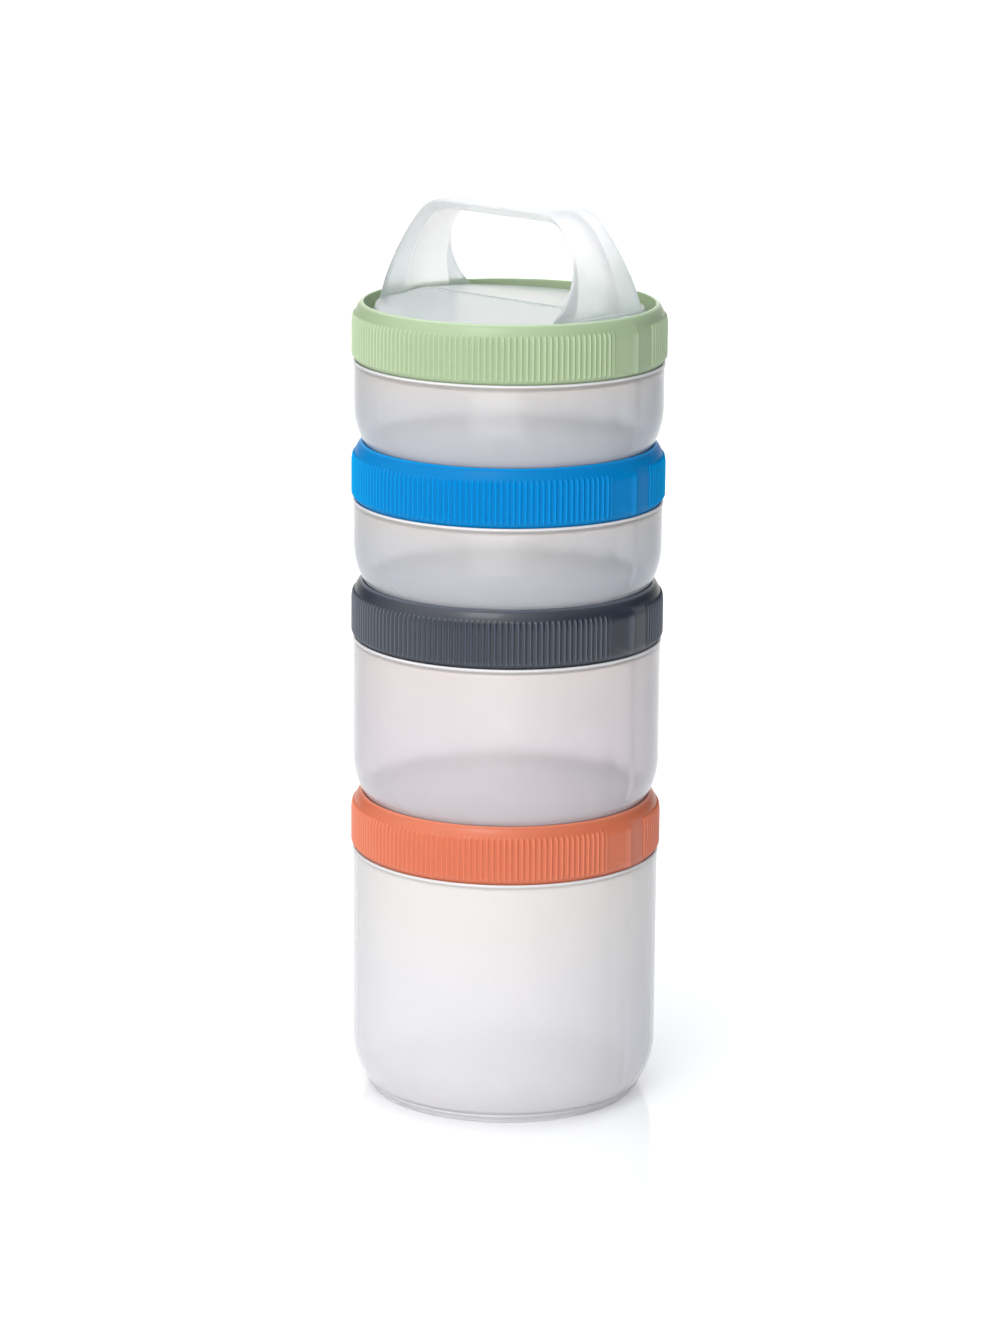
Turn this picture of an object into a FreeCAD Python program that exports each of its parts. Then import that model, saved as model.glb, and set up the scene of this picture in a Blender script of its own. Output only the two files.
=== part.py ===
import FreeCAD, Part
import Sketcher
import math
import os

# A stack of four round food containers. Each container has a screw lid with a silicone seal, and
# each lid has a recess with a bayonet that holds the foot of the next container, or the handle.
# Millimetres. The origin is on the ground at the middle of the stack, +Z is up, and the handle's
# bail lies along X.

SIZES = {
    # Container: a round cup with a curved lower corner, on a hollow foot ring.
    "cup_radius": 49.3,
    "cup_thickness": 1.8,
    "corner_radius": 24.0,
    "corner_height": 17.2,
    "foot_radius": 43.2,
    "foot_height": 3.0,
    "foot_width": 2.0,
    "foot_step": 0.25,
    "underside_depth": 2.3,
    # Height of each container's wall, from its foot to the lower edge of its lid.
    "large_wall": 80.85,
    "medium_wall": 56.55,
    "small_wall": 31.53,
    # Neck: the rim that goes up inside the lid.
    "neck_radius": 46.9,
    "neck_height": 10.0,
    "shoulder_gap": 0.35,
    "shoulder_thickness": 1.4,
    # Lid.
    "lid_radius": 50.0,
    "lid_height": 18.7,
    "edge_width": 0.9,
    "edge_height": 2.4,
    "edge_radius": 3.65,
    "skirt_thickness": 1.7,
    "brow_height": 12.2,
    "brow_radius": 9.7,
    "lip_radius": 47.5,
    "lip_width": 0.5,
    "recess_radius": 44.6,
    "nest_depth": 5.4,
    "panel_thickness": 1.8,
    # Quick thread: four starts, right-handed.
    "thread_starts": 4.0,
    "thread_lead": 20.0,
    "thread_turns": 0.2,
    "thread_depth": 1.0,
    "thread_root": 1.8,
    "thread_crest": 1.0,
    "thread_rise": 4.2,
    # Seal ring.
    "seal_inner": 44.0,
    "seal_outer": 48.1,
    "seal_gap": 0.02,
    # Bayonet: lugs inside the foot turn under hooks on the lid below.
    "bayonet_count": 4.0,
    "bayonet_angle": 24.0,
    "hook_inner": 37.0,
    "hook_outer": 38.4,
    "hook_reach": 39.8,
    "hook_height": 2.0,
    "hook_thickness": 0.9,
    "lug_inner": 38.9,
    "lug_bottom": 0.05,
    "lug_top": 0.9,
    "overlap": 0.3,
    # How far a cut runs past the solid that it trims.
    "cut_margin": 1.0,
    # Handle: a disc whose top is a very low roof, with a wide arched bail.
    "disc_height": 3.1,
    "roof_rise": 2.6,
    "bail_height": 36.5,
    "bail_thickness": 3.4,
    "bail_foot_thickness": 4.8,
    "bail_top_half": 21.6,
    "bail_corner_radius": 12.7,
    "bail_corner_angle": 43.2,
    "bail_leg_radius": 40.6,
    "bail_foot_reach": 41.85,
    "bail_foot_depth": 0.5,
    "waist_half": 9.2,
    "waist_radius": 50.3,
    "bail_foot_half": 21.9,
    "bail_round": 42.7,
}
SHEET = "Sizes"


class Size:
    """A sheet size, or a sum of them: its value in millimetres and the same sum as an expression."""

    def __init__(self, value, text):
        self.value = value
        self.text = text

    def _joined(self, other, sign, value):
        text = other.text if isinstance(other, Size) else repr(other)
        return Size(value, f"({self.text} {sign} {text})")

    def __add__(self, other):
        return self._joined(other, "+", self.value + number(other))

    def __sub__(self, other):
        return self._joined(other, "-", self.value - number(other))

    def __mul__(self, other):
        return self._joined(other, "*", self.value * number(other))

    def __truediv__(self, other):
        return self._joined(other, "/", self.value / number(other))

    def cosine(self):
        return Size(math.cos(math.radians(self.value)), f"cos({self.text} * 1deg)")

    def sine(self):
        return Size(math.sin(math.radians(self.value)), f"sin({self.text} * 1deg)")

    def root(self):
        return Size(math.sqrt(self.value), f"sqrt({self.text})")


class SizeSheet:
    """Writes the driving sizes into a spreadsheet and gives each one back as a Size."""

    def __init__(self, doc, sizes):
        sheet = doc.addObject("Spreadsheet::Sheet", SHEET)
        for row, (name, value) in enumerate(sizes.items(), start=1):
            sheet.set(f"A{row}", name)
            sheet.set(f"B{row}", str(value))
            sheet.setAlias(f"B{row}", name)
            setattr(self, name, Size(value, f"{SHEET}.{name}"))
        doc.recompute()


def number(size):
    """The plain value of a Size or of a number."""
    return size.value if isinstance(size, Size) else float(size)


def bind(item, attribute, size):
    """Tie one attribute of an object to the sheet."""
    item.setExpression(attribute, size.text)


def arc_between(start, end, radius):
    """The shorter arc from start to end. A positive radius bulges to the right of the way there."""
    chord = end - start
    half = chord.Length / 2
    rise = abs(radius) - math.sqrt(radius * radius - half * half)
    right = FreeCAD.Vector(chord.y, -chord.x, 0).normalize() * math.copysign(rise, radius)
    return Part.Arc(start, start + chord * 0.5 + right, end)


def tie(sketch, place, size):
    """Add one dimension to a sketch and bind it to the sheet where the size comes from there."""
    index = sketch.addConstraint(Sketcher.Constraint(*place, number(size)))
    if isinstance(size, Size):
        sketch.setExpression(f"Constraints[{index}]", size.text)


def outline(body, name, role, corners, arcs=None):
    """A closed sketch on an origin plane. Every corner is dimensioned from the origin, and arcs
    maps the number of a curved edge to its radius."""
    arcs = arcs or {}
    sketch = body.newObject("Sketcher::SketchObject", name)
    plane = next(item for item in body.Origin.OriginFeatures if item.Role == role)
    sketch.AttachmentSupport = [(plane, "")]
    sketch.MapMode = "FlatFace"
    points = [FreeCAD.Vector(number(across), number(up), 0) for across, up in corners]
    count = len(points)
    starts = []
    for edge, start in enumerate(points):
        end = points[(edge + 1) % count]
        if edge in arcs:
            sketch.addGeometry(arc_between(start, end, number(arcs[edge])), False)
        else:
            sketch.addGeometry(Part.LineSegment(start, end), False)
        starts.append(1 if sketch.getPoint(edge, 1).distanceToPoint(start) < 1e-6 else 2)
    for edge in range(count):
        after = (edge + 1) % count
        meeting = ("Coincident", edge, 3 - starts[edge], after, starts[after])
        sketch.addConstraint(Sketcher.Constraint(*meeting))
    for edge, (across, up) in enumerate(corners):
        tie(sketch, ("DistanceX", -1, 1, edge, starts[edge]), across)
        tie(sketch, ("DistanceY", -1, 1, edge, starts[edge]), up)
    for edge, radius in arcs.items():
        tie(sketch, ("Radius", edge), radius if number(radius) > 0 else radius * -1.0)
    return sketch


def feature(body, kind, name, sketch):
    """A PartDesign feature of one sketch, which becomes the body's tip."""
    item = body.newObject(f"PartDesign::{kind}", name)
    item.Profile = sketch
    body.Tip = item
    return item


def turned(body, kind, name, sketch, angle=None):
    """Turn a sketch about Z: the whole way round, or over an angle centred on the sketch."""
    item = feature(body, kind, name, sketch)
    item.ReferenceAxis = (sketch, ["V_Axis"])
    if angle is None:
        item.Angle = 360
    else:
        item.Midplane = True
        bind(item, "Angle", angle)
    return item


def ridge(body, name, sketch, sizes):
    """Wind a thread's section up about Z, and copy it for every start of the thread."""
    item = feature(body, "AdditiveHelix", name, sketch)
    item.ReferenceAxis = (sketch, ["V_Axis"])
    item.Mode = "pitch-turns-angle"
    bind(item, "Pitch", sizes.thread_lead)
    bind(item, "Turns", sizes.thread_turns)
    around(body, f"{name}_starts", item, sketch, sizes.thread_starts)


def around(body, name, original, sketch, count):
    """Copy a feature evenly round Z."""
    item = body.newObject("PartDesign::PolarPattern", name)
    item.Originals = [original]
    item.Axis = (sketch, ["V_Axis"])
    item.Angle = 360
    bind(item, "Occurrences", count)
    body.Tip = item


def mirrored(body, name, original, role):
    """Copy a feature across an origin plane."""
    item = body.newObject("PartDesign::Mirrored", name)
    item.Originals = [original]
    item.MirrorPlane = (next(f for f in body.Origin.OriginFeatures if f.Role == role), [""])
    body.Tip = item


def new_body(doc, label, height):
    """An empty body under its own label, standing at a height in the stack."""
    body = doc.addObject("PartDesign::Body", label)
    body.Label = label
    if isinstance(height, Size):
        bind(body, "Placement.Base.z", height)
    return body


def box_corners(left, bottom, right, top):
    """The four corners of an upright rectangle, for outline."""
    return [(left, bottom), (right, bottom), (right, top), (left, top)]


def bayonet_lugs(body, sizes):
    """Lugs that stand inwards from a hollow foot."""
    reach = sizes.foot_radius - sizes.foot_width + sizes.overlap
    corners = box_corners(sizes.lug_inner, sizes.lug_bottom, reach, sizes.lug_top)
    sketch = outline(body, "lug_section", "XZ_Plane", corners)
    lug = turned(body, "Revolution", "lug", sketch, sizes.bayonet_angle)
    around(body, "lugs", lug, sketch, sizes.bayonet_count)


def container(doc, label, sizes, wall, height):
    """A cup with a hollow foot, a curved lower corner, a shoulder and a threaded neck."""
    body = new_body(doc, label, height)
    thickness = sizes.cup_thickness
    foot_inner = sizes.foot_radius - sizes.foot_width
    centre = sizes.cup_radius - sizes.corner_radius
    above_foot = sizes.corner_height - sizes.foot_height
    across = (sizes.corner_radius * sizes.corner_radius - above_foot * above_foot).root()
    corner_start = centre + across
    floor = sizes.underside_depth + thickness
    inside_radius = sizes.corner_radius - thickness
    above_floor = sizes.corner_height - floor
    floor_reach = centre + (inside_radius * inside_radius - above_floor * above_floor).root()
    shoulder = wall - sizes.shoulder_gap
    under_shoulder = shoulder - sizes.shoulder_thickness
    neck_inner = sizes.neck_radius - thickness
    cup_inner = sizes.cup_radius - thickness
    rim = wall + sizes.neck_height
    corners = [
        (foot_inner, 0.0),
        (sizes.foot_radius, 0.0),
        (corner_start - sizes.foot_step, sizes.foot_height),
        (corner_start, sizes.foot_height),
        (sizes.cup_radius, sizes.corner_height),
        (sizes.cup_radius, shoulder),
        (sizes.neck_radius, shoulder),
        (sizes.neck_radius, rim),
        (neck_inner, rim),
        (neck_inner, under_shoulder),
        (cup_inner, under_shoulder),
        (cup_inner, sizes.corner_height),
        (floor_reach, floor),
        (0.0, floor),
        (0.0, sizes.underside_depth),
        (foot_inner, sizes.underside_depth),
    ]
    arcs = {3: sizes.corner_radius, 11: inside_radius * -1.0}
    sketch = outline(body, "wall_section", "XZ_Plane", corners, arcs)
    turned(body, "Revolution", "wall", sketch)
    bayonet_lugs(body, sizes)
    middle = wall + sizes.thread_rise
    root = sizes.neck_radius - sizes.overlap
    crest = sizes.neck_radius + sizes.thread_depth
    thread = outline(body, "thread_section", "XZ_Plane", thread_corners(sizes, root, crest, middle))
    ridge(body, "thread", thread, sizes)
    return body


def thread_corners(sizes, root, crest, middle):
    """A thread's section, wider at its root than at its crest."""
    return [
        (root, middle - sizes.thread_root / 2),
        (crest, middle - sizes.thread_crest / 2),
        (crest, middle + sizes.thread_crest / 2),
        (root, middle + sizes.thread_root / 2),
    ]


def lid(doc, label, sizes, height):
    """A screw lid: a skirt with an inner thread, and a panel sunk below a rounded lip."""
    body = new_body(doc, label, height)
    skirt_inner = sizes.lid_radius - sizes.skirt_thickness
    panel_top = sizes.lid_height - sizes.nest_depth
    panel_bottom = panel_top - sizes.panel_thickness
    corners = [
        (skirt_inner, 0.0),
        (sizes.lid_radius - sizes.edge_width, 0.0),
        (sizes.lid_radius, sizes.edge_height),
        (sizes.lid_radius, sizes.brow_height),
        (sizes.lip_radius, sizes.lid_height),
        (sizes.lip_radius - sizes.lip_width, sizes.lid_height),
        (sizes.recess_radius, panel_top),
        (0.0, panel_top),
        (0.0, panel_bottom),
        (skirt_inner, panel_bottom),
    ]
    arcs = {1: sizes.edge_radius, 3: sizes.brow_radius}
    sketch = outline(body, "lid_section", "XZ_Plane", corners, arcs)
    turned(body, "Revolution", "shell", sketch)
    hooks = outline(body, "hook_section", "XZ_Plane", hook_corners(sizes, panel_top))
    hook = turned(body, "Revolution", "hook", hooks, sizes.bayonet_angle)
    around(body, "hooks", hook, hooks, sizes.bayonet_count)
    middle = sizes.thread_rise - sizes.thread_lead / sizes.thread_starts / 2
    root = skirt_inner + sizes.overlap
    crest = skirt_inner - sizes.thread_depth
    thread = outline(body, "thread_section", "XZ_Plane", thread_corners(sizes, root, crest, middle))
    ridge(body, "thread", thread, sizes)
    return body


def hook_corners(sizes, panel_top):
    """A hook's section: a short wall on the panel with a flange that reaches outwards."""
    top = panel_top + sizes.hook_height
    flange = top - sizes.hook_thickness
    return [
        (sizes.hook_inner, panel_top - sizes.overlap),
        (sizes.hook_outer, panel_top - sizes.overlap),
        (sizes.hook_outer, flange),
        (sizes.hook_reach, flange),
        (sizes.hook_reach, top),
        (sizes.hook_inner, top),
    ]


def seal(doc, label, sizes, height):
    """A flat silicone ring between a container's rim and the panel of its lid."""
    body = new_body(doc, label, height)
    panel_bottom = sizes.lid_height - sizes.nest_depth - sizes.panel_thickness
    bottom = sizes.neck_height + sizes.seal_gap
    corners = box_corners(sizes.seal_inner, bottom, sizes.seal_outer, panel_bottom - sizes.seal_gap)
    sketch = outline(body, "ring_section", "XZ_Plane", corners)
    turned(body, "Revolution", "ring", sketch)
    return body


def bail(body, sizes):
    """The handle's arch: a wide band that is narrow at the top and spreads towards its feet."""
    top = sizes.bail_height
    thickness = sizes.bail_thickness
    foot = sizes.disc_height - sizes.bail_foot_depth
    angle = sizes.bail_corner_angle
    centre_up = top - sizes.bail_corner_radius
    inner_corner = sizes.bail_corner_radius - thickness
    inner_leg = sizes.bail_leg_radius - thickness
    half = [
        (0.0, top - thickness),
        (sizes.bail_top_half, top - thickness),
        (sizes.bail_top_half + inner_corner * angle.cosine(), centre_up + inner_corner * angle.sine()),
        (sizes.bail_foot_reach - sizes.bail_foot_thickness, foot),
        (sizes.bail_foot_reach, foot),
        (
            sizes.bail_top_half + sizes.bail_corner_radius * angle.cosine(),
            centre_up + sizes.bail_corner_radius * angle.sine(),
        ),
        (sizes.bail_top_half, top),
        (0.0, top),
    ]
    arcs = {
        1: inner_corner * -1.0,
        2: inner_leg * -1.0,
        4: sizes.bail_leg_radius,
        5: sizes.bail_corner_radius,
    }
    sketch = outline(body, "arch_section", "XZ_Plane", half, arcs)
    arch = feature(body, "Pad", "arch", sketch)
    arch.Midplane = True
    bind(arch, "Length", sizes.bail_foot_half * 2)
    mirrored(body, "both_legs", arch, "YZ_Plane")
    outside = sizes.bail_foot_half + sizes.cut_margin
    above = top + sizes.cut_margin
    waist_corners = [
        (sizes.bail_foot_half, sizes.disc_height),
        (outside, sizes.disc_height),
        (outside, above),
        (sizes.waist_half, above),
    ]
    waist_sketch = outline(body, "waist_outline", "YZ_Plane", waist_corners, {3: sizes.waist_radius * -1.0})
    waist = feature(body, "Pocket", "waist", waist_sketch)
    waist.Midplane = True
    waist.Type = "ThroughAll"
    mirrored(body, "both_waists", waist, "XZ_Plane")


def roof(body, sizes):
    """The disc's top: two slopes that rise a little to a crease under the middle of the bail."""
    corners = [
        (sizes.foot_radius * -1.0, sizes.disc_height),
        (sizes.foot_radius, sizes.disc_height),
        (0.0, sizes.disc_height + sizes.roof_rise),
    ]
    sketch = outline(body, "roof_section", "YZ_Plane", corners)
    slopes = feature(body, "Pad", "roof", sketch)
    slopes.Midplane = True
    bind(slopes, "Length", sizes.foot_radius * 2)


def trim_round(body, sizes):
    """Cut the bail's feet and the roof round, a little inside the disc's edge."""
    beyond = sizes.foot_radius * 2
    sunk = sizes.disc_height - sizes.bail_foot_depth
    corners = [
        (sizes.foot_radius, sunk),
        (beyond, sunk),
        (beyond, sizes.bail_height),
        (sizes.bail_round, sizes.bail_height),
        (sizes.bail_round, sizes.disc_height),
        (sizes.foot_radius, sizes.disc_height),
    ]
    sketch = outline(body, "rim_outline", "XZ_Plane", corners)
    turned(body, "Groove", "round_rim", sketch)


def handle(doc, label, sizes, height):
    """The handle: a disc with a hollow foot like a container's, and the bail that stands on it."""
    body = new_body(doc, label, height)
    foot_inner = sizes.foot_radius - sizes.foot_width
    corners = [
        (foot_inner, 0.0),
        (sizes.foot_radius, 0.0),
        (sizes.foot_radius, sizes.disc_height),
        (0.0, sizes.disc_height),
        (0.0, sizes.underside_depth),
        (foot_inner, sizes.underside_depth),
    ]
    sketch = outline(body, "disc_section", "XZ_Plane", corners)
    turned(body, "Revolution", "disc", sketch)
    bail(body, sizes)
    roof(body, sizes)
    trim_round(body, sizes)
    bayonet_lugs(body, sizes)
    return body


def stack(doc, sizes):
    """Every piece from the ground up. Each foot stands on the panel of the lid below it."""
    levels = [
        ("large", "orange", sizes.large_wall),
        ("medium", "grey", sizes.medium_wall),
        ("lower_small", "blue", sizes.small_wall),
        ("upper_small", "green", sizes.small_wall),
    ]
    pieces = []
    foot = Size(0.0, "0.0")
    for cup, colour, wall in levels:
        pieces.append(container(doc, f"{cup}_container", sizes, wall, foot))
        skirt = foot + wall
        pieces.append(seal(doc, f"{colour}_seal", sizes, skirt))
        pieces.append(lid(doc, f"{colour}_lid", sizes, skirt))
        foot = skirt + sizes.lid_height - sizes.nest_depth
    pieces.append(handle(doc, "carry_handle", sizes, foot))
    return pieces


def check(doc, pieces):
    """Stop where an object failed, a cut removed nothing, or a piece isn't one valid solid."""
    for item in doc.Objects:
        if any(word in item.State for word in ("Invalid", "Error")):
            raise RuntimeError(f"{item.Label} did not build: {item.State}")
        if item.TypeId in ("PartDesign::Pocket", "PartDesign::Groove"):
            if item.Shape.Volume >= item.BaseFeature.Shape.Volume:
                raise RuntimeError(f"{item.Label} cut nothing")
    for piece in pieces:
        shape = piece.Shape
        if shape.isNull() or not shape.isValid() or len(shape.Solids) != 1:
            raise RuntimeError(f"{piece.Label} is not one valid solid")


def main():
    doc = FreeCAD.newDocument("stacked_food_containers")
    sizes = SizeSheet(doc, SIZES)
    pieces = stack(doc, sizes)
    doc.recompute()
    check(doc, pieces)
    os.makedirs("parts", exist_ok=True)
    for piece in pieces:
        piece.Shape.exportStep(f"parts/{piece.Label}.step")
        box = piece.Shape.BoundBox
        print(f"{piece.Label}: z {box.ZMin:.2f} to {box.ZMax:.2f}, {piece.Shape.Volume / 1000:.2f} cm3")


main()
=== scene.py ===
import math

import bpy
import numpy as np
from mathutils import Matrix, Quaternion, Vector


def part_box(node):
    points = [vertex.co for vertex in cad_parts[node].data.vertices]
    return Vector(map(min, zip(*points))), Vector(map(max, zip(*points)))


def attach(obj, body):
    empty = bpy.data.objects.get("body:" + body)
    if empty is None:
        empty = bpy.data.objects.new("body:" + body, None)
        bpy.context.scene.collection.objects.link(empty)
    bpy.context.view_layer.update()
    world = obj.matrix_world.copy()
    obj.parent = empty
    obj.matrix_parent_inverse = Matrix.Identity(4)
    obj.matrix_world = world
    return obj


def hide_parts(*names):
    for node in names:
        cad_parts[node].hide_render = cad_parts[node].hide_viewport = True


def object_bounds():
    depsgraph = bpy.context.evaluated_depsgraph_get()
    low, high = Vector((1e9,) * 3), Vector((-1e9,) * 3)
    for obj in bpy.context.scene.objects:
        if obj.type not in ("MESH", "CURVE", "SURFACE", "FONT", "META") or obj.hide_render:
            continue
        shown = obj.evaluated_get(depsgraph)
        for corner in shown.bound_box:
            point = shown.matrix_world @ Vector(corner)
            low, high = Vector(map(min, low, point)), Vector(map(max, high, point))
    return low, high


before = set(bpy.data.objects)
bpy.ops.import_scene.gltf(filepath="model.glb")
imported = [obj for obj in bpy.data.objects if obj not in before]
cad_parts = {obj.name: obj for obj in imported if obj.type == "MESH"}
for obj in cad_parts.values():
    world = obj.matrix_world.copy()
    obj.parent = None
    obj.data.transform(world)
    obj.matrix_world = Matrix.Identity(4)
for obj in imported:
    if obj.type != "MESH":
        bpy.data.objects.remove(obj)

# The looks of a stack of four frosted food containers with ribbed screw lids and a carrying handle.
# Blender's scene is in metres, in the frame's axes: +Z up along the stack, X along the handle's bail.
# The profiles below are in millimetres, each from its own piece's lower edge.

MM = 0.001
TURN = 2 * math.pi
CAD_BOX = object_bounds()

# Each container with the colour name of its lid, from the ground up.
LEVELS = [
    ("large", "orange"),
    ("medium", "grey"),
    ("lower_small", "blue"),
    ("upper_small", "green"),
]
# Steps round a circle.
ROUND_STEPS = 384
SEAL_STEPS = 256

# Directions round Z, in degrees.
CAMERA_AZIMUTH = -47.0
STEP_AZIMUTH = 6.0
BRIGHT_AZIMUTH = 133.0

# Light from around the stack: a dim surround, and broad lights from the left of the camera, from
# behind the stack, narrow and wide, from high behind it and from above. Each is (azimuth, elevation,
# where it starts, where it is full, colour), where a direction's dot product with the light's own
# decides how much there is.
DIM_LIGHT = (0.04, 0.06, 0.09)
BROAD_LIGHTS = [
    (CAMERA_AZIMUTH - 44.0, 15.0, 0.05, 0.95, (1.15, 1.13, 1.12)),
    (BRIGHT_AZIMUTH, 0.0, 0.93, 0.985, (0.80, 0.74, 0.69)),
    (BRIGHT_AZIMUTH, 0.0, 0.75, 0.93, (0.48, 0.43, 0.37)),
    (BRIGHT_AZIMUTH, 50.0, 0.6, 0.95, (0.55, 0.58, 0.62)),
    (0.0, 90.0, 0.3, 0.9, (0.82, 0.86, 0.90)),
]

LAMP_SIZE = 0.5
FLOOR_COLOUR = (0.7, 0.7, 0.7, 1.0)
FLOOR_ROUGHNESS = 0.06
FLOOR_GLOW_COLOUR = (1.0, 0.98, 0.96, 1.0)
FLOOR_GLOW = 0.22
FLOOR_REACH = 6.0

# Container. Its bead is at the top of its wall, with a paler ring laid over it as a painted
# highlight.
CUP_RADIUS = 49.3
CUP_THICKNESS = 1.8
CORNER_RADIUS = 24.0
CORNER_HEIGHT = 17.2
FOOT_RADIUS = 43.2
FOOT_HEIGHT = 3.0
FOOT_WIDTH = 2.0
UNDERSIDE_DEPTH = 2.3
NECK_RADIUS = 46.9
SHOULDER_THICKNESS = 1.4
SHOULDER_GAP = 0.15
BEAD_RADIUS = 0.4
EDGE_RADIUS = BEAD_RADIUS + 0.05
EDGE_DROP = 0.2
NECK_HEIGHT = 10.0
GATE_RADIUS = 2.6
GATE_DEPTH = 0.4
# The vertical stripe sunk in a container's wall: its depth, and in degrees from the step's
# direction where it starts, how long it deepens, where it ends and how long that takes.
STRIPE_DEPTH = 0.55
STRIPE_START = -16.0
STRIPE_FADE = 10.0
STRIPE_END = 0.6
STRIPE_STEP = 2.0

# Lid.
LID_WALL_RADIUS = 49.55
LID_HEIGHT = 18.7
SKIRT_INNER = 48.3
BROW_HEIGHT = 12.2
LIP_RADIUS = 47.2
LIP_ROUND = 0.5
RECESS_RADIUS = 44.6
PANEL_TOP = 13.3
PANEL_BOTTOM = 11.5
LOWER_ROUND = 3.6
BROW_REACH = 6.0
BROW_INSET = 2.0
# Grip ribs: how many, the mesh steps in each, how far they stand out, the heights they lie between,
# and in degrees how far from a step they stop on either side, and how long they take to fade.
RIB_COUNT = 168
RIB_STEPS = 8
RIB_HEIGHT = 0.55
RIB_FOOT = 0.9
RIB_TOP = 15.6
RIB_GAP_BEFORE = 11.0
RIB_GAP_AFTER = 9.0
RIB_FADE = 2.5
# A step: how far it rises, and the groove and the long way back behind it.
STEP_RISE = 0.7
GROOVE_DEPTH = 0.3
STEP_BACK = 0.4
# Rows of the lip's crest that get a painted highlight.
CREST_ROWS = 6

# Quick thread on the necks and inside the lids.
THREAD_LEAD = 20.0
THREAD_STARTS = 4
THREAD_SPAN = 72.0
THREAD_DEPTH = 1.0
THREAD_HALF_WIDTH = 0.7
THREAD_RISE = 4.2
LID_THREAD_RISE = THREAD_RISE - 2.5

# Bayonet hooks on the lids' panels, and lugs inside the feet.
BAYONET_COUNT = 4
BAYONET_ANGLE = 24.0
LUG_REACH = 2.3
LUG_BOTTOM = 0.1
LUG_TOP = 0.9
HOOK_SECTION = [
    (37.0, -0.2),
    (38.4, -0.2),
    (38.4, 1.1),
    (39.6, 1.1),
    (39.8, 1.3),
    (39.8, 1.8),
    (39.6, 2.0),
    (37.2, 2.0),
    (37.0, 1.8),
]

# Handle, from its own foot.
DISC_RADIUS = 43.2
DISC_EDGE_HEIGHT = 3.1
ROOF_RISE = 2.6
BAIL_HEIGHT = 36.5
BAIL_TOP_HALF = 21.6
BAIL_CORNER_RADIUS = 12.7
BAIL_CORNER_END = 43.2
BAIL_LEG_RADIUS = 40.6
# The bail's section at the top, and what is added towards its feet.
BAIL_HALF_WIDTH = (9.2, 12.7)
BAIL_INNER_HALF = (6.5, 4.5)
BAIL_DEPTH = (3.4, 1.4)
BAIL_CROWN = 0.8
CREASE_HALF_WIDTH = 0.55
CREASE_HEIGHT = 0.35

# Materials. The mould's fine grain has a depth in metres and a strength; the noises' scales are per
# metre; the murk is what a frosted wall lets through.
GRAIN_DEPTH = 0.00002
GRAIN_STRENGTH = 0.35
FROSTED_SCALES = {"cloud": 28.0, "rough": 160.0, "grain": 1400.0}
MOULDED_SCALES = {"cloud": 60.0, "rough": 220.0, "grain": 2200.0}
FROSTED_COAT_ROUGHNESS = 0.12
MOULDED_COAT_ROUGHNESS = 0.2
MURK_COLOUR = (0.42, 0.5, 0.58, 1.0)
LID_ROUGHNESS = 0.34
LID_GLOW = 0.25
GLOW_RADIUS = (0.004, 0.004, 0.004)

# Camera, in metres and degrees, with its lens and sensor in millimetres.
CAMERA_DISTANCE = 1.439
CAMERA_PITCH = 13.72
CAMERA_ROLL = 0.488
CAMERA_TARGET = 0.1405
CAMERA_ASIDE = 0.00216
CAMERA_LENS = 120.8
CAMERA_SENSOR = 36.0


# --------------------------------------------------------------------------------------------
# Mesh helpers
# --------------------------------------------------------------------------------------------
def ease(value):
    """A smooth step from 0 to 1 as value goes from 0 to 1, for numbers and arrays."""
    clipped = np.clip(value, 0.0, 1.0)
    return clipped * clipped * (3 - 2 * clipped)


def arc(centre, radius, start, end, steps):
    """Points of an arc in a profile's plane, from one angle to another in degrees."""
    angles = np.radians(np.linspace(start, end, steps))
    return [(centre[0] + radius * math.cos(a), centre[1] + radius * math.sin(a)) for a in angles]


def line(start, end, steps):
    """Evenly spaced points from start to just before end."""
    shares = np.arange(steps) / steps
    return [(start[0] + (end[0] - start[0]) * s, start[1] + (end[1] - start[1]) * s) for s in shares]


def object_from(name, vertices, faces, sharp_angle=30.0):
    """A mesh object in metres from vertices in millimetres, smooth except over sharp edges."""
    mesh = bpy.data.meshes.new(name)
    mesh.from_pydata([tuple(c * MM for c in v) for v in vertices], [], faces)
    mesh.validate()
    mesh.update()
    mesh.polygons.foreach_set("use_smooth", [True] * len(mesh.polygons))
    mesh.set_sharp_from_angle(angle=math.radians(sharp_angle))
    piece = bpy.data.objects.new(name, mesh)
    bpy.context.scene.collection.objects.link(piece)
    return piece


def lathe(name, profile, steps, shape=None, sharp_angle=30.0):
    """Turns a closed profile of (radius, height) points about Z. shape(azimuths, row, radius,
    height) gives each row's radii. A row on the axis becomes one vertex."""
    azimuths = np.arange(steps) * TURN / steps
    vertices, rows = [], []
    for row, (radius, height) in enumerate(profile):
        if radius < 1e-6:
            rows.append([len(vertices)] * steps)
            vertices.append((0.0, 0.0, height))
            continue
        radii = np.full(steps, radius) if shape is None else shape(azimuths, row, radius, height)
        rows.append(list(range(len(vertices), len(vertices) + steps)))
        heights = np.full(steps, height)
        vertices.extend(zip(radii * np.cos(azimuths), radii * np.sin(azimuths), heights))
    faces = []
    for row in range(len(rows)):
        lower, upper = rows[row], rows[(row + 1) % len(rows)]
        for k in range(steps):
            after = (k + 1) % steps
            corners = list(dict.fromkeys([lower[k], lower[after], upper[after], upper[k]]))
            if len(corners) > 2:
                faces.append(corners)
    return object_from(name, vertices, faces, sharp_angle)


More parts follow.
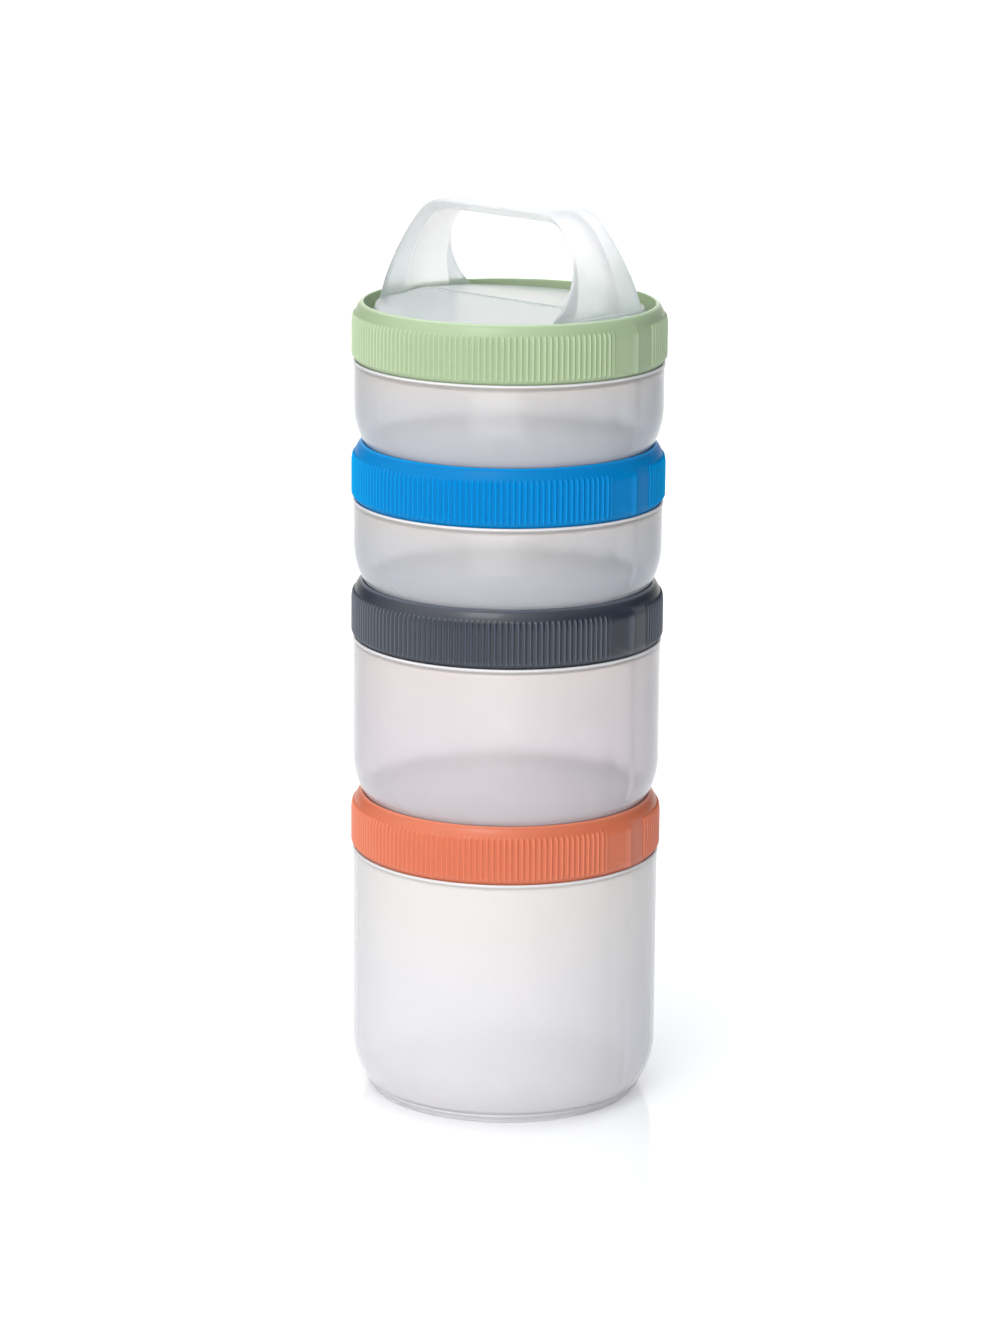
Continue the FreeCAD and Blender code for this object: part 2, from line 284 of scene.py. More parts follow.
def joined(piece, *others):
    """Unites closed meshes into the first one."""
    for other in others:
        cut = piece.modifiers.new("union", "BOOLEAN")
        cut.operation = "UNION"
        cut.solver = "EXACT"
        cut.object = other
        bpy.context.view_layer.update()
        evaluated = piece.evaluated_get(bpy.context.evaluated_depsgraph_get())
        mesh = bpy.data.meshes.new_from_object(evaluated)
        piece.modifiers.clear()
        piece.data = mesh
        bpy.data.objects.remove(other)
    return piece


def lugs(azimuths, height):
    """How far the bayonet lugs inside a foot stand in at a height above the foot's edge."""
    if not LUG_BOTTOM - 0.01 < height < LUG_TOP + 0.01:
        return 0.0
    spacing = 360.0 / BAYONET_COUNT
    away = np.abs((np.degrees(azimuths) + spacing / 2) % spacing - spacing / 2)
    return LUG_REACH * (away < BAYONET_ANGLE / 2)


def from_step(azimuths):
    """Degrees from the nearer of the two steps, which are half a turn apart: from -90 to 90."""
    degrees = np.degrees(azimuths) - STEP_AZIMUTH
    return (degrees + 90.0) % 180.0 - 90.0


def thread(azimuths, height, middle):
    """How far the thread's ridges stand out at a height, from 0 to 1."""
    degrees = np.degrees(azimuths) % (360.0 / THREAD_STARTS)
    centre = middle + THREAD_LEAD * degrees / 360.0
    ends = ease(degrees / 4.0) * ease((THREAD_SPAN - degrees) / 4.0)
    return ease((THREAD_HALF_WIDTH - np.abs(height - centre)) / 0.4 + 0.5) * ends


# --------------------------------------------------------------------------------------------
# Materials
# --------------------------------------------------------------------------------------------
def linear(red, green, blue):
    """A colour given as a display writes it, 0 to 255, as linear light."""
    shares = [c / 255 for c in (red, green, blue)]
    return [s / 12.92 if s <= 0.04045 else ((s + 0.055) / 1.055) ** 2.4 for s in shares] + [1.0]


class Recipe:
    """A node material under construction: one Principled shader, and nodes added by name."""

    def __init__(self, name):
        self.material = bpy.data.materials.new(name)
        self.material.use_nodes = True
        self.nodes = self.material.node_tree.nodes
        self.links = self.material.node_tree.links
        self.shader = self.nodes["Principled BSDF"]
        self.place = self.nodes.new("ShaderNodeTexCoord").outputs["Object"]

    def noise(self, scale, detail=3.0):
        """Noise over the piece, from 0 to 1."""
        node = self.nodes.new("ShaderNodeTexNoise")
        node.inputs["Scale"].default_value = scale
        node.inputs["Detail"].default_value = detail
        self.links.new(self.place, node.inputs["Vector"])
        return node.outputs["Fac"]

    def ramp(self, value, low, high, start=0.0, end=1.0):
        """Maps value from start..end to low..high."""
        node = self.nodes.new("ShaderNodeMapRange")
        self.links.new(value, node.inputs["Value"])
        limits = {"From Min": start, "From Max": end, "To Min": low, "To Max": high}
        for name, number in limits.items():
            node.inputs[name].default_value = number
        return node.outputs["Result"]

    def blend(self, factor, first, second):
        """A mix of two colours, each a colour or a node's output."""
        node = self.nodes.new("ShaderNodeMix")
        node.data_type = "RGBA"
        inputs = [node.inputs[0], node.inputs[6], node.inputs[7]]
        for socket, value in zip(inputs, (factor, first, second)):
            if hasattr(value, "links"):
                self.links.new(value, socket)
            else:
                socket.default_value = value
        return node.outputs[2]

    def rise(self):
        """The height on the piece, from 0 at its foot to 1 at its top."""
        node = self.nodes.new("ShaderNodeSeparateXYZ")
        self.links.new(self.nodes["Texture Coordinate"].outputs["Generated"], node.inputs["Vector"])
        return node.outputs["Z"]

    def painted_highlight(self):
        """The share of painted highlight on the surface, from 0 to 1, as written on its mesh."""
        node = self.nodes.new("ShaderNodeAttribute")
        node.attribute_name = "painted_highlight"
        return node.outputs["Fac"]

    def grain(self, scale):
        """The mould's fine grain, as a bump."""
        node = self.nodes.new("ShaderNodeBump")
        node.inputs["Strength"].default_value = GRAIN_STRENGTH
        node.inputs["Distance"].default_value = GRAIN_DEPTH
        self.links.new(self.noise(scale, detail=2.0), node.inputs["Height"])
        self.links.new(node.outputs["Normal"], self.shader.inputs["Normal"])

    def put(self, name, value):
        """Sets one input of the shader, to a value or to a node's output."""
        if hasattr(value, "links"):
            self.links.new(value, self.shader.inputs[name])
        else:
            self.shader.inputs[name].default_value = value


def frosted(name, high, low, clear, rough, bend, soak, coat):
    """Milky polypropylene: part of the light passes, softened by the matt inside, and a long way
    through the wall soaks some of it up. Its tint changes a little from its foot to its top, as
    painted light: warmer at the top and cooler at the foot."""
    recipe = Recipe(name)
    cloudy = recipe.blend(recipe.ramp(recipe.noise(FROSTED_SCALES["cloud"]), 0.0, 0.35), high, low)
    # Painted light: the tint goes from the cooler foot colour to the warmer top colour with height.
    upper = recipe.ramp(recipe.rise(), 0.0, 1.0, 0.3, 0.75)
    recipe.put("Base Color", recipe.blend(upper, low, cloudy))
    recipe.put("Transmission Weight", clear)
    spots = recipe.noise(FROSTED_SCALES["rough"])
    recipe.put("Roughness", recipe.ramp(spots, rough - 0.04, rough + 0.04))
    recipe.put("IOR", bend)
    recipe.put("Coat Weight", coat)
    recipe.put("Coat Roughness", FROSTED_COAT_ROUGHNESS)
    recipe.grain(FROSTED_SCALES["grain"])
    murk = recipe.nodes.new("ShaderNodeVolumeAbsorption")
    murk.inputs["Color"].default_value = MURK_COLOUR
    murk.inputs["Density"].default_value = soak
    recipe.links.new(murk.outputs["Volume"], recipe.nodes["Material Output"].inputs["Volume"])
    return recipe.material


def moulded(name, light, dark, rough, glow, shine, highlight_lift=(1.0, 0.0)):
    """Coloured polypropylene with a satin mould finish, and a painted highlight: paler where it
    stands out most.
    """
    recipe = Recipe(name)
    paint = recipe.blend(recipe.noise(MOULDED_SCALES["cloud"]), dark, light)
    highlight_paint = [min(1.0, share * highlight_lift[0] + highlight_lift[1]) for share in light[:3]] + [1.0]
    # Painted highlight: the colour is lifted paler where the mesh's highlight share is high.
    recipe.put("Base Color", recipe.blend(recipe.painted_highlight(), paint, highlight_paint))
    recipe.put("Subsurface Weight", glow)
    recipe.put("Subsurface Radius", GLOW_RADIUS)
    recipe.put("Subsurface Scale", 1.0)
    recipe.put("Specular IOR Level", shine)
    recipe.put("Coat Weight", 0.6 * shine)
    recipe.put("Coat Roughness", MOULDED_COAT_ROUGHNESS)
    spots = recipe.noise(MOULDED_SCALES["rough"])
    recipe.put("Roughness", recipe.ramp(spots, rough - 0.05, rough + 0.05))
    recipe.grain(MOULDED_SCALES["grain"])
    return recipe.material


# Each lid's plastic where it is light and where it is dark, how much it shines, and how its colour is
# lifted into a painted highlight on its ridges, steps' edges and lip: times the first number, plus
# the second.
LID_PAINTS = {
    "green": (linear(156, 174, 139), linear(150, 168, 131), 0.35, (1.3, 0.02)),
    "blue": (linear(0, 120, 182), linear(0, 113, 174), 0.07, (1.5, 0.0)),
    "grey": (linear(41, 46, 56), linear(33, 38, 48), 0.5, (3.0, 0.02)),
    "orange": (linear(200, 108, 76), linear(194, 101, 69), 0.35, (1.25, 0.015)),
}
LID_FINISHES = {
    colour: moulded(f"{colour}_plastic", light, dark, LID_ROUGHNESS, LID_GLOW, shine, highlight_lift)
    for colour, (light, dark, shine, highlight_lift) in LID_PAINTS.items()
}
# The frosted materials: each one's tint at the top and at the foot, painted light that is warmer at
# the top and cooler at the foot, how clear and how rough it is, how much it bends light, how much
# light it soaks up and how glossy its skin is. The larger the container, the milkier it is.
FROSTED_LOOKS = {
    "small_cup": (linear(255, 246, 236), linear(246, 246, 250), 0.72, 0.18, 1.4, 175.0, 0.2),
    "medium_cup": (linear(255, 246, 242), linear(254, 247, 249), 0.72, 0.18, 1.4, 90.0, 0.3),
    "large_cup": (linear(255, 251, 246), linear(255, 253, 255), 0.62, 0.22, 1.4, 38.0, 0.35),
    # Painted highlight: a whiter, less clear ring that makes the bright line below each lid.
    "painted_highlight_edge": (linear(240, 239, 240), linear(240, 239, 240), 0.35, 0.2, 1.4, 0.0, 0.3),
    "frosted_handle": (linear(253, 252, 252), linear(251, 254, 254), 0.78, 0.42, 1.25, 2.0, 0.35),
}
FROSTED = {name: frosted(name, *look) for name, look in FROSTED_LOOKS.items()}
CUP_FINISHES = {
    "large": FROSTED["large_cup"],
    "medium": FROSTED["medium_cup"],
    "lower_small": FROSTED["small_cup"],
    "upper_small": FROSTED["small_cup"],
}
SEAL_FINISH = moulded("silicone", linear(228, 226, 222), linear(220, 218, 214), 0.5, 0.4, 0.4)


# --------------------------------------------------------------------------------------------
# Pieces
# --------------------------------------------------------------------------------------------
def lid_profile():
    """A lid's section: up its outside, over the lip, across the panel, and back underneath.
    Returns the points and how many of them are outside, where the ribs are."""
    brow_radius = (BROW_REACH ** 2 + BROW_INSET ** 2) / (2 * BROW_INSET)
    outside = arc((LID_WALL_RADIUS - LOWER_ROUND, 2.5), LOWER_ROUND, -44, 0, 7)
    outside += line((LID_WALL_RADIUS, 3.2), (LID_WALL_RADIUS, BROW_HEIGHT), 10)
    brow_end = math.degrees(math.asin((BROW_REACH - 0.1) / brow_radius))
    outside += arc((LID_WALL_RADIUS - brow_radius, BROW_HEIGHT), brow_radius, 0, brow_end, 22)
    rows_outside = len(outside)
    crest = arc((LIP_RADIUS - LIP_ROUND, LID_HEIGHT - LIP_ROUND), LIP_ROUND, 30, 165, 8)
    recess = line((LIP_RADIUS - 1.1, LID_HEIGHT - 1.2), (RECESS_RADIUS + 0.5, PANEL_TOP + 0.5), 5)
    foot = arc((RECESS_RADIUS - 0.1, PANEL_TOP + 0.6), 0.6, -20, -90, 4)
    panel = [(38.0, PANEL_TOP), (18.0, PANEL_TOP), (0.0, PANEL_TOP)]
    under = [(0.0, PANEL_BOTTOM), (20.0, PANEL_BOTTOM), (43.0, PANEL_BOTTOM)]
    under += arc((SKIRT_INNER - 0.8, PANEL_BOTTOM - 0.8), 0.8, 90, 0, 4)
    inside = line((SKIRT_INNER, PANEL_BOTTOM - 1.2), (SKIRT_INNER, 0.4), 30)
    inside += [(SKIRT_INNER + 0.15, 0.0)]
    return outside + crest + recess + foot + panel + under + inside, rows_outside


def rib_share(azimuths, height):
    """How far the grip ribs stand out on a lid, from 0 in a valley to 1 on a ridge."""
    away = from_step(azimuths)
    share = (np.degrees(azimuths) * RIB_COUNT / 360.0) % 1.0
    ribbed = ease((-away - RIB_GAP_BEFORE) / RIB_FADE) + ease((away - RIB_GAP_AFTER) / RIB_FADE)
    tall = ease((height - RIB_FOOT) / 1.2) * ease((RIB_TOP - height) / 0.9)
    return (2 * share - 1) ** 2 * ribbed * tall


def step_rise(azimuths, height):
    """How far a lid's two steps stand out: a slow rise, a sharp drop into a groove, and a slow way
    back."""
    away = from_step(azimuths)
    rise = STEP_RISE * ease((away + 12.0) / 11.0) * (away < 0)
    groove = -GROOVE_DEPTH * (1 - ease((away - 1.0) / 1.5)) * (away >= 0)
    back = -STEP_BACK * (1 - ease((away - 2.0) / 26.0)) * (away >= 0)
    reach = ease((17.0 - height) / 3.5) * ease((height - 0.3 + np.minimum(away, 0) * 0.35) / 1.2)
    return (rise + groove + back) * reach


def lid_radii(azimuths, row, radius, height):
    """Ribs and the two steps outside, and the thread inside."""
    if row >= LID_ROWS_OUTSIDE:
        if radius == SKIRT_INNER:
            return radius - THREAD_DEPTH * thread(azimuths, height, LID_THREAD_RISE)
        return np.full(len(azimuths), radius)
    return radius + RIB_HEIGHT * rib_share(azimuths, height) + step_rise(azimuths, height)


def lid_painted_highlight(azimuths, row, height):
    """Where a lid gets a painted highlight: on its ridges, along its steps' edges and round its lip.
    """
    if row >= LID_ROWS_OUTSIDE:
        crest = LID_ROWS_OUTSIDE <= row < LID_ROWS_OUTSIDE + CREST_ROWS
        return np.full(len(azimuths), 0.8 if crest else 0.0)
    edge = np.clip(step_rise(azimuths, height) / STEP_RISE - 0.85, 0, 1) / 0.15
    return np.maximum(ease((rib_share(azimuths, height) - 0.45) / 0.5), 0.5 * edge)


def mark_painted_highlight(piece, values):
    """Keeps the share of painted highlight, from 0 to 1, for each of a mesh's points, for its
    material.
    """
    marks = piece.data.attributes.new("painted_highlight", "FLOAT", "POINT")
    marks.data.foreach_set("value", values)


def make_lid(colour):
    """A ribbed lid and the bayonet hooks on its panel."""
    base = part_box(f"{colour}_lid")[0].z / MM
    profile = [(radius, height + base) for radius, height in LID_PROFILE]
    steps = RIB_COUNT * RIB_STEPS

    def shape(azimuths, row, radius, height):
        return lid_radii(azimuths, row, radius, height - base)

    piece = lathe(f"{colour}_ribbed_lid", profile, steps, shape)
    azimuths = np.arange(steps) * TURN / steps
    # The painted highlight share for the lid's ridges, steps' edges and lip crest.
    shares = [
        lid_painted_highlight(azimuths, row, height) if radius > 1e-6 else np.zeros(1)
        for row, (radius, height) in enumerate(LID_PROFILE)
    ]
    mark_painted_highlight(piece, np.concatenate(shares))
    hooks = [
        hook(f"{colour}_hook_{k}", base + PANEL_TOP, k * 360.0 / BAYONET_COUNT)
        for k in range(BAYONET_COUNT)
    ]
    piece.data.materials.append(LID_FINISHES[colour])
    for item in hooks:
        item.data.materials.append(LID_FINISHES[colour])
        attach(item, f"{colour}_lid")
    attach(piece, f"{colour}_lid")
    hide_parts(f"{colour}_lid")


def sector(name, section, middle, span, steps=14):
    """A closed section of (radius, height) points turned through part of a circle."""
    azimuths = np.radians(np.linspace(middle - span / 2, middle + span / 2, steps))
    vertices, faces = [], []
    count = len(section)
    for azimuth in azimuths:
        vertices.extend((r * math.cos(azimuth), r * math.sin(azimuth), z) for r, z in section)
    for k in range(steps - 1):
        low, high = k * count, (k + 1) * count
        for edge in range(count):
            after = (edge + 1) % count
            faces.append([low + edge, high + edge, high + after, low + after])
    faces.append(list(range(count)))
    faces.append(list(range((steps - 1) * count, steps * count))[::-1])
    return object_from(name, vertices, faces)


def hook(name, panel, middle):
    """A bayonet hook on a lid's panel."""
    return sector(name, [(r, panel + rise) for r, rise in HOOK_SECTION], middle, BAYONET_ANGLE)


def cup_profile(wall):
    """A container's section: up its outside, over the rim, and down the inside.
    Returns the points and how many of them come before its neck."""
    centre = CUP_RADIUS - CORNER_RADIUS
    floor = UNDERSIDE_DEPTH + CUP_THICKNESS
    shoulder = wall - SHOULDER_GAP
    rim = wall + NECK_HEIGHT
    corner_start = -math.degrees(math.asin((CORNER_HEIGHT - FOOT_HEIGHT) / CORNER_RADIUS))
    inside_radius = CORNER_RADIUS - CUP_THICKNESS
    inside_start = -math.degrees(math.asin((CORNER_HEIGHT - floor) / inside_radius))
    foot_inner = FOOT_RADIUS - FOOT_WIDTH
    neck_inner = NECK_RADIUS - CUP_THICKNESS
    cup_inner = CUP_RADIUS - CUP_THICKNESS
    points = [(foot_inner + 0.2, 0.0)]
    points += arc((FOOT_RADIUS - 0.5, 0.5), 0.5, -90, -10, 5)
    points += line((FOOT_RADIUS + 0.05, 0.8), (centre + 20.0, FOOT_HEIGHT), 4)
    points += arc((centre, CORNER_HEIGHT), CORNER_RADIUS, corner_start, 0, 26)
    points += line((CUP_RADIUS, CORNER_HEIGHT + 1), (CUP_RADIUS, shoulder - 2 * BEAD_RADIUS), 8)
    points += arc((CUP_RADIUS - 0.1, shoulder - BEAD_RADIUS), BEAD_RADIUS, -60, 90, 9)
    rows_below_neck = len(points)
    points += [(NECK_RADIUS + 0.2, shoulder)]
    points += line((NECK_RADIUS, shoulder + 0.2), (NECK_RADIUS, rim - 0.5), 28)
    points += arc((NECK_RADIUS - 0.5, rim - 0.5), 0.5, 0, 90, 4)
    points += arc((neck_inner + 0.5, rim - 0.5), 0.5, 90, 180, 4)
    under_shoulder = shoulder - SHOULDER_THICKNESS
    points += [(neck_inner, under_shoulder + 0.3), (neck_inner + 0.2, under_shoulder)]
    points += arc((cup_inner - 0.8, under_shoulder - 0.8), 0.8, 90, 0, 4)
    points += line((cup_inner, under_shoulder - 2), (cup_inner, CORNER_HEIGHT), 7)
    points += arc((centre, CORNER_HEIGHT), inside_radius, 0, inside_start, 24)
    points += [(30.0, floor), (12.0, floor), (GATE_RADIUS + 0.6, floor)]
    points += [(GATE_RADIUS, floor - GATE_DEPTH), (0.0, floor - GATE_DEPTH)]
    points += [(0.0, UNDERSIDE_DEPTH), (20.0, UNDERSIDE_DEPTH), (foot_inner - 0.3, UNDERSIDE_DEPTH)]
    points += foot_inside(foot_inner)
    return points, rows_below_neck


def foot_inside(radius):
    """The inner side of a foot ring, downwards, with a row at each edge of its lugs."""
    heights = (UNDERSIDE_DEPTH - 0.3, LUG_TOP + 0.05, LUG_TOP, LUG_BOTTOM, LUG_BOTTOM - 0.05)
    return [(radius, height) for height in heights]


def make_container(cup, wall):
    """A container: wall is the height from its foot to its lid's lower edge."""
    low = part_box(f"{cup}_container")[0].z / MM
    points, rows_below_neck = cup_profile(wall)
    profile = [(radius, height + low) for radius, height in points]
    middle = low + wall + THREAD_RISE

    def shape(azimuths, row, radius, height):
        if radius == FOOT_RADIUS - FOOT_WIDTH:
            return radius - lugs(azimuths, height - low)
        if radius == NECK_RADIUS:
            return radius + THREAD_DEPTH * thread(azimuths, height, middle)
        if radius > CUP_RADIUS - 2 and row < rows_below_neck and height < low + wall - 0.5:
            away = from_step(azimuths)
            rise = ease((away - STRIPE_START) / STRIPE_FADE) * (away < STRIPE_END)
            fall = (1 - ease((away - STRIPE_END) / STRIPE_STEP)) * (away >= STRIPE_END)
            return radius - STRIPE_DEPTH * (rise + fall) * ease((radius - CUP_RADIUS + 2) / 1.5)
        return np.full(len(azimuths), radius)

    piece = lathe(f"{cup}_frosted_container", profile, ROUND_STEPS, shape)
    piece.data.materials.append(CUP_FINISHES[cup])
    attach(piece, f"{cup}_container")
    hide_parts(f"{cup}_container")


def make_edge(cup, wall):
    """A paler ring on the upper edge of a container's wall, a painted highlight, which stands just
    clear of its lid.
    """
    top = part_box(f"{cup}_container")[0].z / MM + wall
    section = arc((CUP_RADIUS - 0.1, top - EDGE_DROP), EDGE_RADIUS, -90, 90, 11)
    section += [(CUP_RADIUS - 0.4, top + 0.05), (CUP_RADIUS - 0.4, top - 0.45)]
    edge = lathe(f"{cup}_painted_highlight_edge", section, ROUND_STEPS)
    edge.data.materials.append(FROSTED["painted_highlight_edge"])
    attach(edge, f"{cup}_container")


def make_seal(colour):
    """The ring in a lid, with a groove along its upper side."""
    low, high = (corner.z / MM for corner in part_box(f"{colour}_seal"))
    points = [(44.2, low), (47.9, low), (48.1, low + 0.2), (48.1, high - 0.2), (47.9, high)]
    points += [(46.6, high), (46.4, high - 0.25), (45.7, high - 0.25), (45.5, high), (44.2, high)]
    points += [(44.0, high - 0.2), (44.0, low + 0.2)]
    piece = lathe(f"{colour}_silicone_ring", points, SEAL_STEPS)
    piece.data.materials.append(SEAL_FINISH)
    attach(piece, f"{colour}_seal")
    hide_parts(f"{colour}_seal")


def bail_path():
    """The arch's outer side as (along X, height) points, from the middle of its top to one foot."""
    corner = (BAIL_TOP_HALF, BAIL_HEIGHT - BAIL_CORNER_RADIUS)
    turn = math.radians(BAIL_CORNER_END)
    back = BAIL_LEG_RADIUS - BAIL_CORNER_RADIUS
    leg = (corner[0] - back * math.cos(turn), corner[1] - back * math.sin(turn))
    foot = math.degrees(math.asin((DISC_EDGE_HEIGHT - 0.5 - leg[1]) / BAIL_LEG_RADIUS))
    path = line((0.0, BAIL_HEIGHT), (BAIL_TOP_HALF, BAIL_HEIGHT), 7)
    path += arc(corner, BAIL_CORNER_RADIUS, 90, BAIL_CORNER_END, 14)
    return path + arc(leg, BAIL_LEG_RADIUS, BAIL_CORNER_END, foot, 18)[1:]


def make_bail():
    """The arch: a band with bevelled sides, thin and narrow at the top and wider at its feet."""
    half = np.array(bail_path())
    path = np.vstack([half[1:][::-1] * np.array([-1, 1]), half])
    tangents = np.gradient(path, axis=0)
    tangents /= np.linalg.norm(tangents, axis=1)[:, None]
    outward = np.stack([-tangents[:, 1], tangents[:, 0]], axis=1)
    vertices, faces = [], []
    for (across, up), normal in zip(path, outward):
        fall = np.clip((BAIL_HEIGHT - up) / (BAIL_HEIGHT - DISC_EDGE_HEIGHT), 0, 1)
        section = bail_section(
            BAIL_HALF_WIDTH[0] + BAIL_HALF_WIDTH[1] * fall ** 2,
            BAIL_INNER_HALF[0] + BAIL_INNER_HALF[1] * fall ** 1.5,
            BAIL_DEPTH[0] + BAIL_DEPTH[1] * fall,
        )
        crown = BAIL_CROWN * np.clip((fall - 0.2) / 0.7, 0, 1) / (2 * DISC_RADIUS)
        for aside, inward in section:
            move = inward + crown * aside ** 2
            vertices.append((across - normal[0] * move, aside, up - normal[1] * move))
    count = len(section)
    for k in range(len(path) - 1):
        low, high = k * count, (k + 1) * count
        for edge in range(count):
            after = (edge + 1) % count
            faces.append([low + edge, low + after, high + after, high + edge])
    faces.append(list(range(count))[::-1])
    faces.append(list(range((len(path) - 1) * count, len(path) * count)))
    return object_from("bail", vertices, faces, 35.0)


def bail_section(half_width, inner_half, depth):
    """The arch's section as (across, inward) points, from the outer face round to the inner one."""
    right = [
        (half_width - 4.0, 0.0),
        (half_width - 1.2, 0.03),
        (half_width - 0.4, 0.22),
        (half_width, 0.75),
        (inner_half + 0.45, depth - 0.5),
        (inner_half, depth - 0.1),
        (inner_half - 0.7, depth),
        (inner_half - 2.2, depth - 0.7),
    ]
    return [(0.0, 0.0)] + right + [(0.0, depth - 0.8)] + [(-n, inward) for n, inward in right[::-1]]


def make_crease():
    """The fine ridge along the top of the disc's roof."""
    top = DISC_EDGE_HEIGHT + ROOF_RISE
    section = [(-CREASE_HALF_WIDTH, top - 0.2), (CREASE_HALF_WIDTH, top - 0.2)]
    section += [(0.0, top + CREASE_HEIGHT)]
    reach = DISC_RADIUS - 7.0
    vertices = [(along, aside, up) for along in (-reach, reach) for aside, up in section]
    faces = [(0, 2, 1), (3, 4, 5), (0, 1, 4, 3), (1, 2, 5, 4), (2, 0, 3, 5)]
    return object_from("crease", vertices, faces)


def make_handle():
    """The disc with its foot ring, lugs and flat roof, and the bail, in one piece."""
    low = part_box("carry_handle")[0].z / MM
    foot_inner = DISC_RADIUS - FOOT_WIDTH
    profile = [(foot_inner + 0.2, 0.0)] + arc((DISC_RADIUS - 0.4, 0.4), 0.4, -90, 0, 4)
    profile += arc((DISC_RADIUS - 0.6, DISC_EDGE_HEIGHT - 0.6), 0.6, 0, 90, 5)
    profile += [(r, DISC_EDGE_HEIGHT) for r in (38.0, 30.0, 22.0, 14.0, 7.0, 0.0)]
    profile += [(0.0, UNDERSIDE_DEPTH), (20.0, UNDERSIDE_DEPTH), (foot_inner - 0.3, UNDERSIDE_DEPTH)]
    profile += foot_inside(foot_inner)

    def shape(azimuths, row, radius, height):
        return np.full(len(azimuths), radius) - (radius == foot_inner) * lugs(azimuths, height)

    disc = lathe("frosted_carry_handle", profile, ROUND_STEPS, shape)
    for vertex in disc.data.vertices:
        across = math.hypot(vertex.co.x, vertex.co.y) / MM
        if vertex.co.z > (DISC_EDGE_HEIGHT - 0.01) * MM and across < DISC_RADIUS - 0.5:
            vertex.co.z += (ROOF_RISE * (1 - abs(vertex.co.y / MM) / DISC_RADIUS)) * MM
    piece = joined(disc, make_bail(), make_crease())
    piece.data.transform(Matrix.Translation((0, 0, low * MM)))
    piece.data.polygons.foreach_set("use_smooth", [True] * len(piece.data.polygons))
    piece.data.set_sharp_from_angle(angle=math.radians(32))
    for edge in piece.data.edges:
        ends = [piece.data.vertices[k].co for k in edge.vertices]
        if all(abs(end.y) < 0.01 * MM and end.z > (low + DISC_EDGE_HEIGHT) * MM for end in ends):
            edge.use_edge_sharp = True
    piece.data.materials.clear()
    piece.data.materials.append(FROSTED["frosted_handle"])
    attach(piece, "carry_handle")
    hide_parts("carry_handle")


# --------------------------------------------------------------------------------------------
# Stage, light and camera
# --------------------------------------------------------------------------------------------
def make_floor():
    """A pale glossy table top."""
    mesh = bpy.data.meshes.new("table_top")
    signs = ((-1, -1), (1, -1), (1, 1), (-1, 1))
    corners = [(x * FLOOR_REACH, y * FLOOR_REACH, 0) for x, y in signs]
    mesh.from_pydata(corners, [], [(0, 1, 2, 3)])
    floor = bpy.data.objects.new("table_top", mesh)
    bpy.context.scene.collection.objects.link(floor)
    recipe = Recipe("white_table")
    recipe.put("Base Color", FLOOR_COLOUR)
    recipe.put("Roughness", FLOOR_ROUGHNESS)
    recipe.put("Emission Color", FLOOR_GLOW_COLOUR)
    recipe.put("Emission Strength", FLOOR_GLOW)
    mesh.materials.append(recipe.material)


def towards(azimuth, elevation):
    """The unit vector of a direction given in degrees."""
    flat, turn = math.radians(elevation), math.radians(azimuth)
    return Vector((math.cos(flat) * math.cos(turn), math.cos(flat) * math.sin(turn), math.sin(flat)))


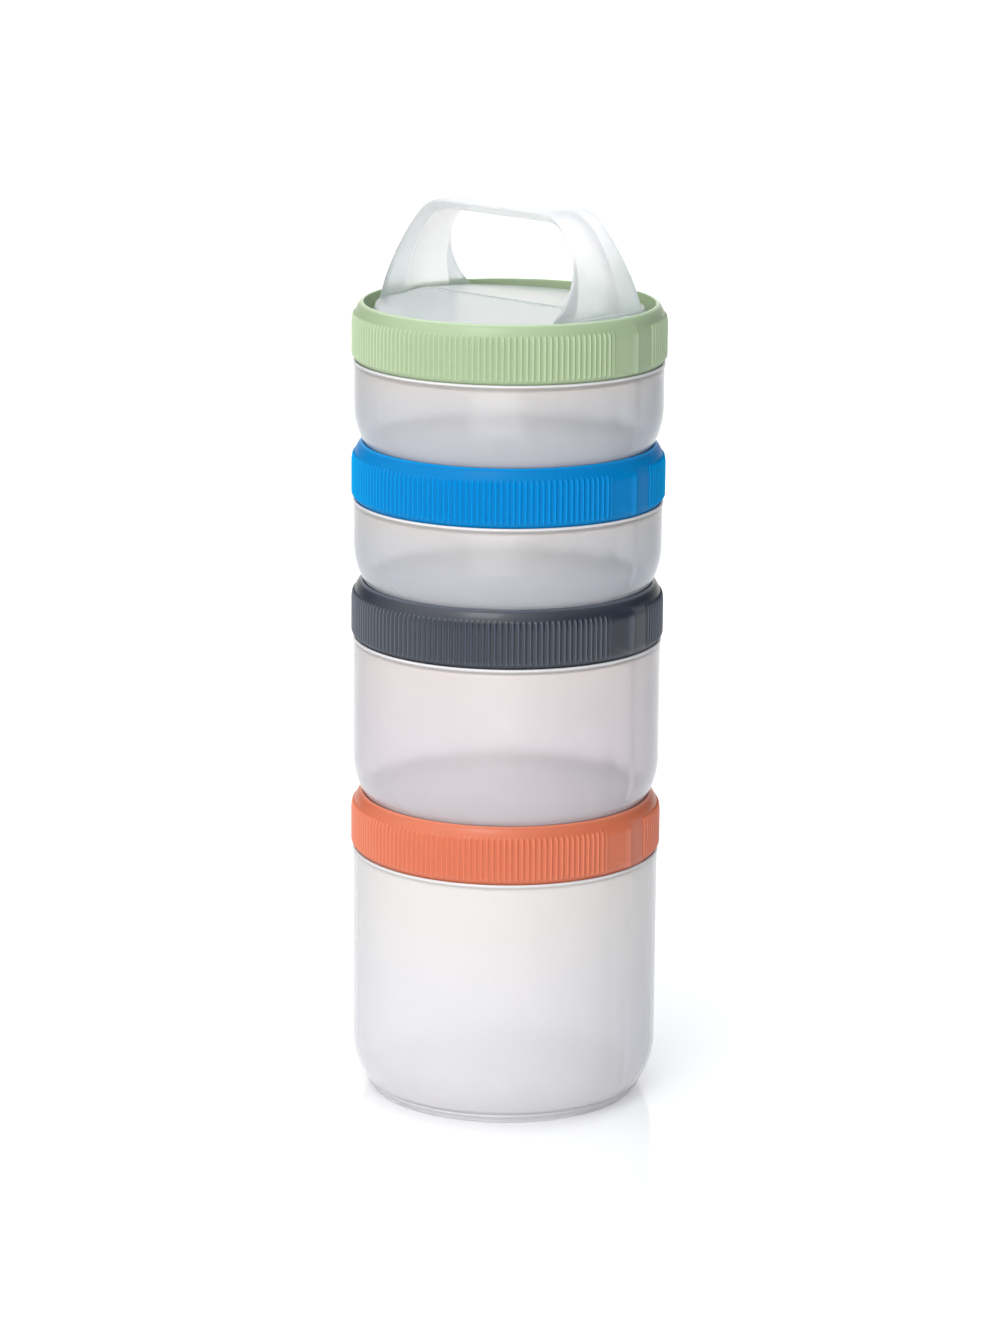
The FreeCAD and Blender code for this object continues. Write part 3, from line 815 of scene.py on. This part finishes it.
def make_light():
    """The surround, which the camera itself sees as plain white, and two large soft lamps."""
    scene = bpy.context.scene
    scene.view_settings.view_transform = "Standard"
    world = bpy.data.worlds.new("studio")
    scene.world = world
    world.use_nodes = True
    nodes, links = world.node_tree.nodes, world.node_tree.links
    direction = nodes.new("ShaderNodeTexCoord").outputs["Generated"]
    surround = nodes.new("ShaderNodeRGB")
    surround.outputs[0].default_value = (*DIM_LIGHT, 1.0)
    total = surround.outputs[0]
    for azimuth, elevation, start, full, colour in BROAD_LIGHTS:
        along = nodes.new("ShaderNodeVectorMath")
        along.operation = "DOT_PRODUCT"
        along.inputs[1].default_value = towards(azimuth, elevation)
        links.new(direction, along.inputs[0])
        share = nodes.new("ShaderNodeMapRange")
        share.interpolation_type = "SMOOTHSTEP"
        share.inputs["From Min"].default_value = start
        share.inputs["From Max"].default_value = full
        links.new(along.outputs["Value"], share.inputs["Value"])
        added = nodes.new("ShaderNodeVectorMath")
        added.operation = "MULTIPLY_ADD"
        added.inputs[1].default_value = colour
        links.new(share.outputs["Result"], added.inputs[0])
        links.new(total, added.inputs[2])
        total = added.outputs["Vector"]
    seen = nodes.new("ShaderNodeLightPath")
    shown = nodes.new("ShaderNodeMix")
    shown.data_type = "RGBA"
    links.new(seen.outputs["Is Camera Ray"], shown.inputs[0])
    links.new(total, shown.inputs[6])
    shown.inputs[7].default_value = (1.0, 1.0, 1.0, 1.0)
    links.new(shown.outputs[2], nodes["Background"].inputs["Color"])
    add_light("high", CAMERA_AZIMUTH - 22.0, elevation=48.0, distance=1.3, power=3.2, aim=0.5)
    low = add_light("low", CAMERA_AZIMUTH - 10.0, elevation=6.0, distance=0.8, power=2.8, aim=0.05)
    low.visible_glossy = False


def add_light(name, azimuth, elevation, distance, power, aim):
    """A square soft light that looks at the stack, at a share of its height."""
    data = bpy.data.lights.new(name, "AREA")
    data.size = LAMP_SIZE
    data.energy = power
    lamp = bpy.data.objects.new(name, data)
    bpy.context.scene.collection.objects.link(lamp)
    direction = towards(azimuth, elevation)
    lamp.location = Vector((0, 0, CAD_BOX[1][2] * aim)) + direction * distance
    lamp.rotation_euler = direction.to_track_quat("Z", "Y").to_euler()
    return lamp


def make_camera():
    """The camera: a long lens a little above the stack."""
    azimuth = math.radians(CAMERA_AZIMUTH)
    back = towards(CAMERA_AZIMUTH, CAMERA_PITCH)
    right = Vector((-math.sin(azimuth), math.cos(azimuth), 0.0))
    target = Vector((0, 0, CAMERA_TARGET)) - right * CAMERA_ASIDE
    data = bpy.data.cameras.new("camera")
    data.sensor_width = CAMERA_SENSOR
    data.lens = CAMERA_LENS
    camera = bpy.data.objects.new("camera", data)
    bpy.context.scene.collection.objects.link(camera)
    camera.location = target + back * CAMERA_DISTANCE
    roll = Quaternion((0, 0, 1), math.radians(CAMERA_ROLL))
    camera.rotation_euler = (back.to_track_quat("Z", "Y") @ roll).to_euler()
    bpy.context.scene.camera = camera


LID_PROFILE, LID_ROWS_OUTSIDE = lid_profile()
for cup, colour in LEVELS:
    wall = (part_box(f"{colour}_lid")[0].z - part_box(f"{cup}_container")[0].z) / MM
    make_container(cup, wall)
    make_edge(cup, wall)
    make_seal(colour)
    make_lid(colour)
make_handle()
make_floor()
make_light()
make_camera()
